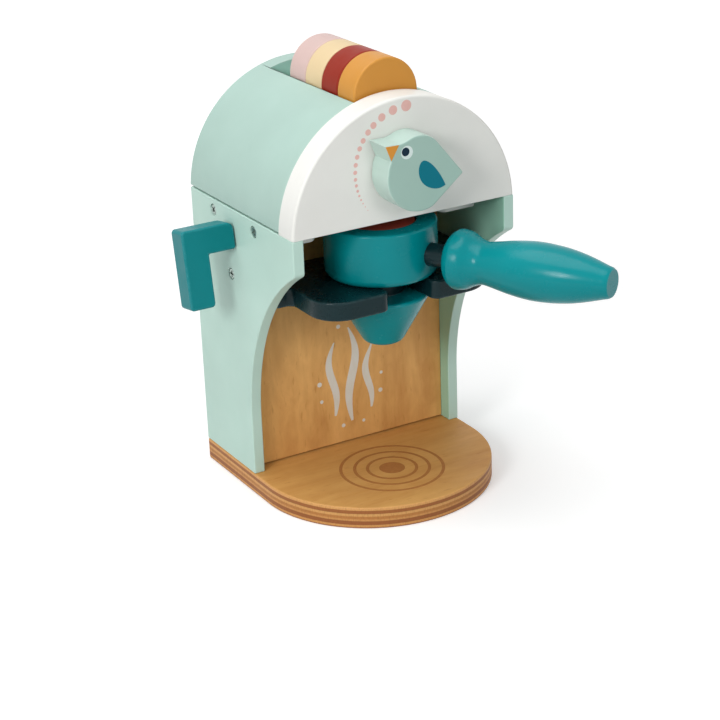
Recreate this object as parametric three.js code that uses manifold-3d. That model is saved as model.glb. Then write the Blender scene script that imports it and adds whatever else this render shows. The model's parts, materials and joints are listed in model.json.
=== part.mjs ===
// A wooden toy coffee maker: a rounded plywood base, two arched side panels, a half-round hood
// with a slot of capsules, a bird dial, a side lever, and a handled cup that hangs in a fork.
// Millimetres, +Z up, the front faces -Y. X = 0 is the middle, Y = 0 the front plate's face,
// and Z = 0 the table under the base.

import * as THREE from "three";
import { mergeVertices } from "three/addons/utils/BufferGeometryUtils.js";
import Module from "manifold-3d";

const wasm = await Module();
wasm.setup();

// Whole machine
const body_width = 150;
const base_thick = 14;
const base_overhang = 26.2;
const panel_height = 170;
const hood_depth = 131.5;

// Side panels: the foot is vertical, then the arch sweeps forward to the front edge
const side_thick = 7;
const front_edge = 18.8;
const arch_radius = 127;
const arch_nose_round = 4.5;
const panel_ease = 1.2;

// Back panel between the sides, behind their front edges and behind the cup
const back_setback = 8.9;
const cup_back_gap = 9.5;
const back_thick = 14;

// Board that closes the hood from below, open round the cup
const floor_thick = 14;
const floor_setback = 30.5;
const cutout_space = 8.8;
const cutout_round = 5;
const floor_ease = 1;

// Hood
const arc_drop = 3;
const plate_thick = 17;
const plate_ease = 1.8;
const shell_thick = 5;
const rear_thick = 12.5;
const base_ease = 1;

// Capsule slot
const slot_width = 45;
const slot_side_gap = 1.1;
const tray_thick = 5;
const tray_wall_thick = 5;
const capsule_thick = 19;
const capsule_ease = 1.2;
const capsule_gap = 0.2;
const capsule_show = 22.3;
const capsule_front_gap = 2;

// Fork shelf
const shelf_thick = 11.5;
const shelf_grip_gap = 9.8;
const shelf_side_gap = 9.8;
const shelf_corner = 19;
const shelf_shoulder = 5.8;
const shelf_inner_round = 4;
const fork_side_gap = 1.3;
const fork_tip_round = 5.5;
const shelf_ease = 1;

// Cup, spout and neck
const cup_setback = 30.7;
const cup_wall = 12.3;
const cup_height = 32.8;
const cup_top_gap = 8.3;
const cup_bottom_round = 4.5;
const cup_rim_round = 1.6;
const cup_bore_gap = 0.5;
const capsule_sink = 1;
const neck_radius = 13.5;
const spout_depth = 32.7;
const spout_top_radius = 28.9;
const spout_tip_radius = 11.6;
const spout_tip_round = 6;
const spout_rim_round = 1.5;

// Handle
const handle_swing = 29.1;
const handle_rise = 15.1;
const handle_rod_radius = 7;
const handle_rod_grip = 22;
const handle_rod_wall = 3.3;
const handle_gap = 11.2;
const handle_length = 104.6;
const handle_radius = 17.9;
const handle_end_ease = 1;

// Bird dial
const dial_top_gap = 2.5;
const bird_width = 51.9;
const bird_height = 44.9;
const bird_thick = 18.2;
const bird_ease = 1;
const bird_gap = 0.5;
const dial_pin_radius = 4;
const dial_pin_sink = 10;
const dial_collar_radius = 9;
const dial_collar_thick = 5;
const dial_collar_gap = 0.4;

// Lever
const lever_inset = 4.6;
const lever_top_gap = 2;
const lever_lean = 8.9;
const lever_gap = 1.4;
const lever_reach = 33.5;
const lever_drop = 48.4;
const lever_width = 16.4;
const lever_thick = 15;
const lever_ease = 1.3;
const lever_corner = 2.4;
const lever_pin_drop = 2.8;
const lever_pin_radius = 3;
const lever_pin_sink = 12;
const lever_pin_depth = 22;
const lever_groove_depth = 1;
const lever_groove_width = 2.6;
const lever_groove_place = 10;
const lever_nail_radius = 0.8;
const lever_nail_past = 4;

// Countersunk screws
const screw_head_radius = 3.2;
const screw_head_depth = 2.6;
const screw_shank_radius = 1.6;
const screw_length = 24;
const screw_tip = 3;
const screw_sink = 0.2;
const floor_screw_inset = 18;
const back_screw_drop = 23.4;
const foot_screw_inset = 16;
const base_screw_shift = 0.8;
const base_screw_half = 35;
const shelf_screw_half = 42;

// Clearances and the overrun of cuts
const glue_gap = 0.2;
const hole_gap = 0.1;
const turn_gap = 0.1;
const rest_gap = 0.3;
const overrun = 2;
const weld = 0.0001;

// Facets
const arc_steps = 24;
const curve_steps = 8;
const bend_steps = 4;
const round_steps = 40;
const bore_steps = 24;
const hole_steps = 12;
const ease_steps = 2;
const grip_steps = 32;
const grip_rings = 20;

// Outline of the bird, as shares of its width and height from its lowest left corner
const bird_start_share = [0, 0.936];
const bird_brow_share = [0.179, 0.93];
const bird_brow_bend_share = [0.24, 0.935];
const bird_crown_share = [0.32, 0.975];
const bird_crown_bend_shares = [[0.45, 1.03], [0.6, 0.985]];
const bird_nape_share = [0.69, 0.842];
const bird_tail_share = [1, 0.4];
const bird_rump_share = [0.615, 0.05];
const bird_rump_bend_shares = [[0.53, -0.022], [0.32, -0.022]];
const bird_belly_share = [0.2, 0.1];
const bird_belly_bend_shares = [[0.06, 0.2], [0.0, 0.42]];
const bird_breast_share = [0.035, 0.56];
const bird_throat_bend_share = [0.04, 0.66];
const bird_throat_share = [0.077, 0.72];
const bird_axis_share = [0.464, 0.494];

// The handle's outline, as shares of its length and of its largest radius
const handle_shares = [
  [0.0, 0.4], [0.0043, 0.45], [0.0134, 0.6], [0.0268, 0.76], [0.0449, 0.893], [0.0679, 0.98],
  [0.086, 1], [0.1348, 0.95], [0.1855, 0.8], [0.238, 0.714], [0.304, 0.765], [0.4168, 0.885],
  [0.5363, 0.955], [0.6434, 0.94], [0.7467, 0.872], [0.8518, 0.738], [0.9685, 0.535],
];

// Colours, as hexadecimal sRGB
const mint = 0xb4d1c4;
const chalk = 0xf0f0ec;
const teal = 0x007a7e;
const night = 0x28404a;
const birch = 0xc19456;
const steel = 0xb8bab8;
const beech = 0xd8b98a;
const orange = 0xdca047;
const russet = 0x9c3a2e;
const cream = 0xf2dea8;
const blush = 0xe3c6c4;
const coral = 0xb94b36;
const sage = 0x93b8a8;

// Places that several pieces share
const seam_z = base_thick + panel_height;
const half_width = body_width / 2;
const inner_half = half_width - side_thick;
const capsule_radius = slot_width / 2 - slot_side_gap;
const cup_bore_radius = capsule_radius + cup_bore_gap;
const cup_bore_depth = capsule_thick + capsule_sink + rest_gap;
const cup_radius = cup_bore_radius + cup_wall;
const grip_start = cup_radius + handle_gap;
const shelf_reach = grip_start - shelf_grip_gap;
const back_y = cup_setback + cup_radius + cup_back_gap;
const foot_setback = back_y - back_setback;
const hood_radius = Math.hypot(half_width, arc_drop);
const hood_centre_z = seam_z - arc_drop;
const rear_y = hood_depth - rear_thick;
const floor_z = seam_z - floor_thick;
const cup_z = seam_z - cup_top_gap - cup_height;
const shelf_z = cup_z - rest_gap - shelf_thick;
const spout_z = shelf_z - rest_gap;
const slot_half = slot_width / 2;
const slot_edge_z = hood_centre_z + Math.sqrt(hood_radius ** 2 - slot_half ** 2);
const capsule_z = slot_edge_z + capsule_show - capsule_radius;
const tray_z = capsule_z - capsule_radius - rest_gap;
const dial_z = tray_z - tray_thick - dial_top_gap - dial_collar_radius;
const lever_y = back_y + lever_inset;
const lever_axis_z = floor_z - lever_top_gap - lever_pin_radius;
const lever_end_x = -half_width - lever_gap;
const back_mid_y = back_y + back_thick / 2;

const group = new THREE.Group();

function finish(colour, roughness, metalness) {
  return new THREE.MeshStandardMaterial({ color: colour, roughness, metalness });
}

function paint(colour) {
  return finish(colour, 0.45, 0);
}

function bareWood(colour) {
  return finish(colour, 0.6, 0);
}

function put(name, geometry, material, parent = group) {
  const mesh = new THREE.Mesh(geometry, material);
  mesh.name = name;
  parent.add(mesh);
  return mesh;
}

// Joins the corners that neighbouring faces share, so that the mesh is closed
function closed(geometry) {
  geometry.deleteAttribute("normal");
  geometry.deleteAttribute("uv");
  return mergeVertices(geometry, weld);
}

// A closed mesh as a solid that can be cut
function toSolid(geometry) {
  const mesh = new wasm.Mesh({
    numProp: 3,
    vertProperties: new Float32Array(geometry.attributes.position.array),
    triVerts: new Uint32Array(geometry.index.array),
  });
  return new wasm.Manifold(mesh);
}

function toGeometry(solid) {
  const mesh = solid.getMesh();
  const geometry = new THREE.BufferGeometry();
  geometry.setAttribute("position", new THREE.BufferAttribute(mesh.vertProperties, 3));
  geometry.setIndex(new THREE.BufferAttribute(mesh.triVerts, 1));
  return geometry;
}

function cut(geometry, tools) {
  let solid = toSolid(geometry);
  for (const tool of tools) {
    solid = solid.subtract(toSolid(tool));
  }
  return toGeometry(solid);
}

// The outline's corner points, without those that repeat or lie on a straight run
function cornerPoints(shape, steps) {
  const points = shape.getPoints(steps);
  const apart = points.filter((point, i) => point.distanceTo(points.at(i - 1)) > weld);
  return apart.filter((point, i) => {
    const before = point.clone().sub(apart.at(i - 1));
    const after = apart[(i + 1) % apart.length].clone().sub(point);
    return Math.abs(before.cross(after)) > weld;
  });
}

// A board of a drawn outline, lying flat from z = 0, with its edges eased
function board(shape, thick, ease, steps) {
  const geometry = new THREE.ExtrudeGeometry(new THREE.Shape(cornerPoints(shape, steps)), {
    depth: thick - 2 * ease,
    bevelEnabled: ease > 0,
    bevelThickness: ease,
    bevelSize: ease,
    bevelOffset: -ease,
    bevelSegments: ease_steps,
  });
  return closed(geometry).translate(0, 0, ease);
}

// Stands a board up with its outline in X and Z, and its front face at y
function faceFront(geometry, y, thick) {
  return geometry.rotateX(Math.PI / 2).translate(0, y + thick, 0);
}

// Stands a board up with its outline in Y and Z, and its left face at x
function faceSide(geometry, x) {
  const along = new THREE.Matrix4().makeBasis(
    new THREE.Vector3(0, 1, 0),
    new THREE.Vector3(0, 0, 1),
    new THREE.Vector3(1, 0, 0),
  );
  return geometry.applyMatrix4(along).translate(x, 0, 0);
}

function block(low, high) {
  const size = high.map((value, axis) => value - low[axis]);
  const middle = high.map((value, axis) => (value + low[axis]) / 2);
  return closed(new THREE.BoxGeometry(...size)).translate(...middle);
}

// A round bar from one point along a direction
function rod(radius, length, steps, start, direction) {
  const bar = closed(new THREE.CylinderGeometry(radius, radius, length, steps));
  return aim(bar.translate(0, length / 2, 0), start, direction);
}

// Turns a shape that grows along +Y towards a direction, from a point
function aim(geometry, start, direction) {
  const turn = new THREE.Quaternion().setFromUnitVectors(
    new THREE.Vector3(0, 1, 0),
    new THREE.Vector3(...direction),
  );
  return geometry.applyQuaternion(turn).translate(...start);
}

function revolve(points, steps) {
  return closed(new THREE.LatheGeometry(points.map(([r, h]) => new THREE.Vector2(r, h)), steps));
}

// Points of a quarter-round corner for a profile, from one angle to another
function corner(r, h, radius, from, to, steps = bend_steps) {
  const points = [];
  for (let i = 0; i <= steps; i += 1) {
    const angle = from + ((to - from) * i) / steps;
    points.push([r + radius * Math.cos(angle), h + radius * Math.sin(angle)]);
  }
  return points;
}

// Screws

// A screw from the face of its head to its tip
function screwSolid(spot) {
  const profile = [
    [0, screw_sink],
    [screw_head_radius, screw_sink],
    [screw_shank_radius, screw_sink + screw_head_depth],
    [screw_shank_radius, screw_length - screw_tip],
    [0, screw_length],
  ];
  return aim(revolve(profile, hole_steps), spot.at, spot.toward);
}

// The hole that a screw sits in, open at its face
function screwHole(spot) {
  const head = screw_head_radius + hole_gap;
  const shank = screw_shank_radius + hole_gap;
  const profile = [
    [0, -overrun],
    [head, -overrun],
    [head, screw_sink],
    [shank, screw_sink + screw_head_depth + hole_gap],
    [shank, screw_length - screw_tip],
    [hole_gap, screw_length + hole_gap],
    [0, screw_length + hole_gap],
  ];
  return aim(revolve(profile, hole_steps), spot.at, spot.toward);
}

const floor_mid_z = floor_z + floor_thick / 2;
const side_screws = [];
for (const [side, sign] of [["left", -1], ["right", 1]]) {
  const toward = [-sign, 0, 0];
  const at = (y, z) => [sign * half_width, y, z];
  side_screws.push(
    { name: `screw_${side}_front`, sign, toward, at: at(floor_setback + floor_screw_inset, floor_mid_z) },
    { name: `screw_${side}_rear`, sign, toward, at: at(rear_y - floor_screw_inset, floor_mid_z) },
    { name: `screw_${side}_back`, sign, toward, at: at(back_mid_y, lever_axis_z - back_screw_drop) },
  );
}

// The outer base screws stand a little inwards, clear of the base's eased edge
const base_screws = [];
for (const [side, sign] of [["left", -1], ["right", 1]]) {
  const x = sign * (half_width - side_thick / 2 - base_screw_shift);
  const toward = [0, 0, 1];
  base_screws.push(
    { name: `base_screw_${side}_front`, toward, at: [x, foot_setback + foot_screw_inset, 0] },
    { name: `base_screw_${side}_rear`, toward, at: [x, hood_depth - foot_screw_inset, 0] },
    { name: `base_screw_${side}_middle`, toward, at: [sign * base_screw_half, back_mid_y, 0] },
  );
}

const shelf_screws = [-1, 1].map((sign) => ({
  name: sign < 0 ? "shelf_screw_left" : "shelf_screw_right",
  toward: [0, -1, 0],
  at: [sign * shelf_screw_half, back_y + back_thick, shelf_z + shelf_thick / 2],
}));

// Base and walls

function baseBoard() {
  const centre_y = half_width - base_overhang;
  const shape = new THREE.Shape();
  shape.moveTo(half_width, hood_depth);
  shape.lineTo(-half_width, hood_depth);
  shape.lineTo(-half_width, centre_y);
  shape.absarc(0, centre_y, half_width, Math.PI, 2 * Math.PI, false);
  shape.lineTo(half_width, hood_depth);
  return cut(board(shape, base_thick, base_ease, arc_steps), base_screws.map(screwHole));
}

// Outline of a side panel in Y and Z
function panelOutline() {
  const centre_y = foot_setback - arch_radius;
  const nose_y = arch_nose_round;
  const nose_z = seam_z - front_edge;
  const spring_z = nose_z - Math.sqrt((arch_radius + arch_nose_round) ** 2 - (nose_y - centre_y) ** 2);
  const meet = Math.atan2(nose_z - spring_z, nose_y - centre_y);
  const shape = new THREE.Shape();
  shape.moveTo(hood_depth, base_thick);
  shape.lineTo(hood_depth, seam_z);
  shape.lineTo(0, seam_z);
  shape.lineTo(0, nose_z);
  shape.absarc(nose_y, nose_z, arch_nose_round, Math.PI, Math.PI + meet, false);
  shape.absarc(centre_y, spring_z, arch_radius, meet, 0, true);
  shape.lineTo(foot_setback, base_thick);
  shape.closePath();
  return shape;
}

function sidePanel(sign) {
  const x = sign < 0 ? -half_width : inner_half;
  const panel = faceSide(board(panelOutline(), side_thick, panel_ease, curve_steps), x);
  const holes = side_screws.filter((spot) => spot.sign === sign).map(screwHole);
  holes.push(...base_screws.map(screwHole));
  if (sign < 0) {
    holes.push(leverBore());
  }
  return cut(panel, holes);
}

function leverBore() {
  const start = [-half_width - overrun, lever_y, lever_axis_z];
  const length = side_thick + lever_pin_depth + overrun + rest_gap;
  return rod(lever_pin_radius + turn_gap, length, round_steps, start, [1, 0, 0]);
}

function nailSpot() {
  const x = -inner_half + lever_groove_place;
  const low = lever_pin_radius - lever_groove_depth + lever_nail_radius + hole_gap;
  return [x, back_y + back_thick, lever_axis_z - low];
}

function nail(growth) {
  const [x, y, z] = nailSpot();
  const length = y - lever_y + lever_nail_past + growth;
  const start = [x, y + (growth > 0 ? overrun : 0), z];
  const whole = length + (growth > 0 ? overrun : 0);
  return rod(lever_nail_radius + growth, whole, hole_steps, start, [0, -1, 0]);
}

function backPanel() {
  const panel = block([-inner_half, back_y, base_thick], [inner_half, back_y + back_thick, floor_z]);
  const screws = [...side_screws, ...base_screws, ...shelf_screws];
  return cut(panel, [...screws.map(screwHole), leverBore(), nail(hole_gap)]);
}

// The hood's floor, with its round-cornered opening for the cup
function hoodFloor() {
  const half = cup_radius + cutout_space;
  const front = floor_setback;
  const round_y = front + cutout_round;
  const round_x = Math.sqrt((half + cutout_round) ** 2 - (round_y - cup_setback) ** 2);
  const meet = Math.atan2(round_y - cup_setback, round_x);
  const shape = new THREE.Shape();
  shape.moveTo(inner_half, front);
  shape.lineTo(inner_half, rear_y);
  shape.lineTo(-inner_half, rear_y);
  shape.lineTo(-inner_half, front);
  shape.lineTo(-round_x, front);
  shape.absarc(-round_x, round_y, cutout_round, -Math.PI / 2, -meet, false);
  shape.absarc(0, cup_setback, half, Math.PI - meet, meet, true);
  shape.absarc(round_x, round_y, cutout_round, Math.PI + meet, 1.5 * Math.PI, false);
  shape.closePath();
  const floor = board(shape, floor_thick, floor_ease, curve_steps).translate(0, 0, floor_z);
  return cut(floor, side_screws.map(screwHole));
}

// Hood

// A segment of a circle that stands on the seam
function hoodOutline(radius) {
  const start = Math.asin(arc_drop / radius);
  const shape = new THREE.Shape();
  shape.absarc(0, hood_centre_z, radius, start, Math.PI - start, false);
  shape.closePath();
  return shape;
}

function frontPlate() {
  const flat = board(hoodOutline(hood_radius), plate_thick, plate_ease, arc_steps);
  const plate = faceFront(flat, 0, plate_thick);
  const start = [0, -overrun, dial_z];
  const length = plate_thick + 2 * overrun;
  return cut(plate, [rod(dial_pin_radius + turn_gap, length, round_steps, start, [0, 1, 0])]);
}

function rearPlate() {
  const inner = hood_radius - shell_thick - glue_gap;
  return faceFront(board(hoodOutline(inner), rear_thick, 0, arc_steps), rear_y, rear_thick);
}

// The bent shell runs from the front plate to the back, and its slot ends at the rear plate
function hoodShell() {
  const inner = hood_radius - shell_thick;
  const outer_start = Math.asin(arc_drop / hood_radius);
  const inner_start = Math.asin(arc_drop / inner);
  const shape = new THREE.Shape();
  shape.absarc(0, hood_centre_z, hood_radius, outer_start, Math.PI - outer_start, false);
  shape.absarc(0, hood_centre_z, inner, Math.PI - inner_start, inner_start, true);
  shape.closePath();
  const length = hood_depth - plate_thick;
  const shell = faceFront(board(shape, length, 0, arc_steps), plate_thick, length);
  const low = [-slot_half, plate_thick - overrun, dial_z];
  const high = [slot_half, rear_y, hood_centre_z + hood_radius + overrun];
  return cut(shell, [block(low, high)]);
}

function trayFloor() {
  const half = slot_half + tray_wall_thick;
  return block([-half, plate_thick, tray_z - tray_thick], [half, rear_y, tray_z]);
}

// A wall of the slot, whose top follows the inside of the shell
function trayWall(sign) {
  const inner = hood_radius - shell_thick - glue_gap;
  const near = slot_half;
  const far = slot_half + tray_wall_thick;
  const shape = new THREE.Shape();
  shape.moveTo(sign * near, tray_z);
  for (let i = 0; i <= bend_steps; i += 1) {
    const x = near + ((far - near) * i) / bend_steps;
    shape.lineTo(sign * x, hood_centre_z + Math.sqrt(inner ** 2 - x ** 2));
  }
  shape.lineTo(sign * far, tray_z);
  shape.closePath();
  const length = rear_y - plate_thick;
  return faceFront(board(shape, length, 0, bend_steps), plate_thick, length);
}

// A flat disc with eased edges, along +Y from y = 0
function capsule() {
  const r = capsule_radius - capsule_ease;
  const top = capsule_thick - capsule_ease;
  return revolve([
    [0, 0],
    ...corner(r, capsule_ease, capsule_ease, -Math.PI / 2, 0, ease_steps),
    ...corner(r, top, capsule_ease, 0, Math.PI / 2, ease_steps),
    [0, capsule_thick],
  ], round_steps);
}

function addCapsules() {
  const colours = [orange, russet, cream, blush];
  colours.forEach((colour, i) => {
    const y = plate_thick + capsule_front_gap + i * (capsule_thick + capsule_gap);
    put(`capsule_${i + 1}`, capsule().translate(0, y, capsule_z), paint(colour));
  });
}

// Fork shelf

// Outline of the fork, drawn from the back, round each arm and into the slot
function shelfShape() {
  const fork_half = neck_radius + fork_side_gap;
  const front = cup_setback - shelf_reach;
  const shoulder = cup_setback + shelf_shoulder;
  const arm = inner_half - shelf_side_gap;
  const shape = new THREE.Shape();
  shape.moveTo(inner_half, back_y);
  shape.lineTo(-inner_half, back_y);
  shape.lineTo(-inner_half, shoulder);
  shape.lineTo(-arm - shelf_inner_round, shoulder);
  shape.absarc(-arm - shelf_inner_round, shoulder - shelf_inner_round, shelf_inner_round,
    Math.PI / 2, 0, true);
  shape.lineTo(-arm, front + shelf_corner);
  shape.absarc(-arm + shelf_corner, front + shelf_corner, shelf_corner, Math.PI, 1.5 * Math.PI, false);
  shape.lineTo(-fork_half - fork_tip_round, front);
  shape.absarc(-fork_half - fork_tip_round, front + fork_tip_round, fork_tip_round,
    -Math.PI / 2, 0, false);
  shape.lineTo(-fork_half, cup_setback);
  shape.absarc(0, cup_setback, fork_half, Math.PI, 0, true);
  shape.lineTo(fork_half, front + fork_tip_round);
  shape.absarc(fork_half + fork_tip_round, front + fork_tip_round, fork_tip_round,
    Math.PI, 1.5 * Math.PI, false);
  shape.lineTo(arm - shelf_corner, front);
  shape.absarc(arm - shelf_corner, front + shelf_corner, shelf_corner, -Math.PI / 2, 0, false);
  shape.lineTo(arm, shoulder - shelf_inner_round);
  shape.absarc(arm + shelf_inner_round, shoulder - shelf_inner_round, shelf_inner_round,
    Math.PI, Math.PI / 2, true);
  shape.lineTo(inner_half, shoulder);
  shape.closePath();
  return shape;
}

function holderShelf() {
  const shelf = board(shelfShape(), shelf_thick, shelf_ease, curve_steps).translate(0, 0, shelf_z);
  return cut(shelf, shelf_screws.map(screwHole));
}

// Handled cup

const rod_start = cup_bore_radius + handle_rod_wall;

function cupBody() {
  const outer = cup_radius - cup_bottom_round;
  const rim = cup_radius - cup_rim_round;
  const floor = cup_height - cup_bore_depth;
  const lip = cup_rim_round / 2;
  const cup = revolve([
    [0, 0],
    ...corner(outer, cup_bottom_round, cup_bottom_round, -Math.PI / 2, 0),
    ...corner(rim, cup_height - cup_rim_round, cup_rim_round, 0, Math.PI / 2, ease_steps),
    [cup_bore_radius + lip, cup_height],
    [cup_bore_radius, cup_height - lip],
    [cup_bore_radius, floor],
    [0, floor],
  ], round_steps).rotateX(Math.PI / 2);
  const length = cup_radius - rod_start + overrun;
  const start = [0, -rod_start, handle_rise];
  return cut(cup, [rod(handle_rod_radius + hole_gap, length, bore_steps, start, [0, -1, 0])]);
}

function neckBody() {
  return rod(neck_radius, cup_z - spout_z, round_steps, [0, 0, spout_z - cup_z], [0, 0, 1]);
}

// The spout narrows from its rim to a rounded tip
function spoutBody() {
  const slope = Math.atan2(spout_top_radius - spout_tip_radius, spout_depth);
  const inset = spout_tip_round * Math.tan((Math.PI / 2 - slope) / 2);
  const rim = spout_top_radius - spout_rim_round;
  return revolve([
    [0, 0],
    ...corner(spout_tip_radius - inset, spout_tip_round, spout_tip_round, -Math.PI / 2, -slope),
    ...corner(rim, spout_depth - spout_rim_round, spout_rim_round, -slope, Math.PI / 2),
    [0, spout_depth],
  ], round_steps).rotateX(Math.PI / 2).translate(0, 0, spout_z - spout_depth - cup_z);
}

function handleRod() {
  const length = grip_start + handle_rod_grip - rod_start - 2 * rest_gap;
  const start = [0, -rod_start - rest_gap, handle_rise];
  return rod(handle_rod_radius, length, bore_steps, start, [0, -1, 0]);
}

// The turned grip, with its bulb, waist, belly and flat end
function handleGrip() {
  const waypoints = handle_shares.map(
    ([s, r]) => new THREE.Vector2(r * handle_radius, s * handle_length),
  );
  const curve = new THREE.SplineCurve(waypoints);
  const outline = curve.getPoints(grip_rings).map((p) => [p.x, p.y]);
  const end = outline[outline.length - 1];
  const last = end[0] - handle_end_ease;
  const bore = handle_rod_radius + hole_gap;
  const profile = [
    [0, handle_rod_grip],
    [bore, handle_rod_grip],
    [bore, 0],
    ...outline.filter(([r]) => r > bore + hole_gap),
    [last, handle_length],
    [0, handle_length],
  ];
  const grip = revolve(profile, grip_steps);
  return grip.rotateX(Math.PI).translate(0, -grip_start, handle_rise);
}

function addHandledCup() {
  const turned = new THREE.Group();
  turned.position.set(0, cup_setback, cup_z);
  turned.rotation.z = THREE.MathUtils.degToRad(handle_swing);
  group.add(turned);
  put("cup", cupBody(), paint(teal), turned);
  put("cup_neck", neckBody(), paint(night), turned);
  put("cup_spout", spoutBody(), paint(teal), turned);
  put("handle_rod", handleRod(), paint(night), turned);
  put("handle_grip", handleGrip(), paint(teal), turned);
  const seat = cup_height - cup_bore_depth + rest_gap;
  const disc = capsule().rotateX(Math.PI / 2).translate(0, 0, seat);
  put("cup_capsule", disc, paint(coral), turned);
}

// Bird dial

function birdShape() {
  const at = ([u, v]) => [
    (u - bird_axis_share[0]) * bird_width,
    (v - bird_axis_share[1]) * bird_height,
  ];
  const bend = (shares) => shares.flatMap(at);
  const shape = new THREE.Shape();
  shape.moveTo(...at(bird_start_share));
  shape.lineTo(...at(bird_throat_share));
  shape.quadraticCurveTo(...at(bird_throat_bend_share), ...at(bird_breast_share));
  shape.bezierCurveTo(...bend([...bird_belly_bend_shares].reverse()), ...at(bird_belly_share));
  shape.bezierCurveTo(...bend([...bird_rump_bend_shares].reverse()), ...at(bird_rump_share));
  shape.lineTo(...at(bird_tail_share));
  shape.lineTo(...at(bird_nape_share));
  shape.bezierCurveTo(...bend([...bird_crown_bend_shares].reverse()), ...at(bird_crown_share));
  shape.quadraticCurveTo(...at(bird_brow_bend_share), ...at(bird_brow_share));
  shape.closePath();
  return shape;
}

function birdBody() {
  const bird = board(birdShape(), bird_thick, bird_ease, curve_steps);
  const placed = faceFront(bird, -bird_thick - bird_gap, bird_thick).translate(0, 0, dial_z);
  const start = [0, -bird_gap - dial_pin_sink, dial_z];
  const length = dial_pin_sink + overrun;
  return cut(placed, [rod(dial_pin_radius + hole_gap, length, bore_steps, start, [0, 1, 0])]);
}

const dial_collar_y = plate_thick + dial_collar_gap;

function dialPin() {
  const start = [0, -bird_gap - dial_pin_sink + rest_gap, dial_z];
  const length = dial_collar_y + dial_collar_thick - start[1];
  return rod(dial_pin_radius, length, bore_steps, start, [0, 1, 0]);
}

function dialCollar() {
  const bore = dial_pin_radius + hole_gap;
  const ring = revolve([
    [bore, 0],
    [dial_collar_radius, 0],
    [dial_collar_radius, dial_collar_thick],
    [bore, dial_collar_thick],
    [bore, 0],
  ], bore_steps);
  return ring.translate(0, dial_collar_y, dial_z);
}

// Lever

// The hooked lever hangs upright, and its arm starts at x = 0 by the panel and goes outwards
function leverShape() {
  const half = lever_width / 2;
  const outer = -lever_reach;
  const inner = lever_width - lever_reach;
  const low = half - lever_drop;
  const c = lever_corner;
  const shape = new THREE.Shape();
  shape.moveTo(-c, half);
  shape.lineTo(outer + c, half);
  shape.quadraticCurveTo(outer, half, outer, half - c);
  shape.lineTo(outer, low + c);
  shape.quadraticCurveTo(outer, low, outer + c, low);
  shape.lineTo(inner - c, low);
  shape.quadraticCurveTo(inner, low, inner, low + c);
  shape.lineTo(inner, -half);
  shape.lineTo(-c, -half);
  shape.quadraticCurveTo(0, -half, 0, -half + c);
  shape.lineTo(0, half - c);
  shape.quadraticCurveTo(0, half, -c, half);
  return shape;
}

function leverBody() {
  const flat = board(leverShape(), lever_thick, lever_ease, bend_steps);
  const lever = faceFront(flat, -lever_thick / 2, lever_thick).translate(0, 0, lever_pin_drop);
  const start = [-lever_pin_sink, 0, 0];
  const length = lever_pin_sink + overrun;
  return cut(lever, [rod(lever_pin_radius + hole_gap, length, bore_steps, start, [1, 0, 0])]);
}

// The axle, with the turned groove that the nail holds
function leverPin() {
  const r = lever_pin_radius;
  const groove = lever_gap + side_thick + lever_groove_place;
  const half = lever_groove_width / 2;
  const end = lever_gap + side_thick + lever_pin_depth;
  const low = r - lever_groove_depth;
  return aim(revolve([
    [0, rest_gap - lever_pin_sink],
    [r, rest_gap - lever_pin_sink],
    [r, groove - half],
    [low, groove - half],
    [low, groove + half],
    [r, groove + half],
    [r, end],
    [0, end],
  ], bore_steps), [0, 0, 0], [1, 0, 0]);
}

function addLever() {
  const leaning = new THREE.Group();
  leaning.position.set(lever_end_x, lever_y, lever_axis_z);
  leaning.rotation.x = -THREE.MathUtils.degToRad(lever_lean);
  group.add(leaning);
  put("lever", leverBody(), paint(teal), leaning);
  put("lever_axle", leverPin(), bareWood(beech), leaning);
}

// Assembly

put("base_board", baseBoard(), bareWood(birch));
put("left_side_panel", sidePanel(-1), paint(mint));
put("right_side_panel", sidePanel(1), paint(mint));
put("back_panel", backPanel(), bareWood(birch));
put("hood_floor", hoodFloor(), paint(chalk));
put("front_plate", frontPlate(), paint(chalk));
put("hood_shell", hoodShell(), paint(mint));
put("hood_rear_plate", rearPlate(), paint(mint));
put("tray_floor", trayFloor(), paint(mint));
put("tray_wall_left", trayWall(-1), paint(mint));
put("tray_wall_right", trayWall(1), paint(mint));
addCapsules();
put("holder_shelf", holderShelf(), paint(night));
addHandledCup();
put("bird_knob", birdBody(), paint(sage));
put("dial_axle", dialPin(), bareWood(beech));
put("dial_retainer", dialCollar(), bareWood(beech));
addLever();
put("lever_nail", nail(0), finish(steel, 0.35, 1));
for (const spot of [...side_screws, ...base_screws, ...shelf_screws]) {
  put(spot.name, screwSolid(spot), finish(steel, 0.35, 1));
}

export default group;
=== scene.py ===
import json
import math

import bpy
from mathutils import Matrix, Vector

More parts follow.
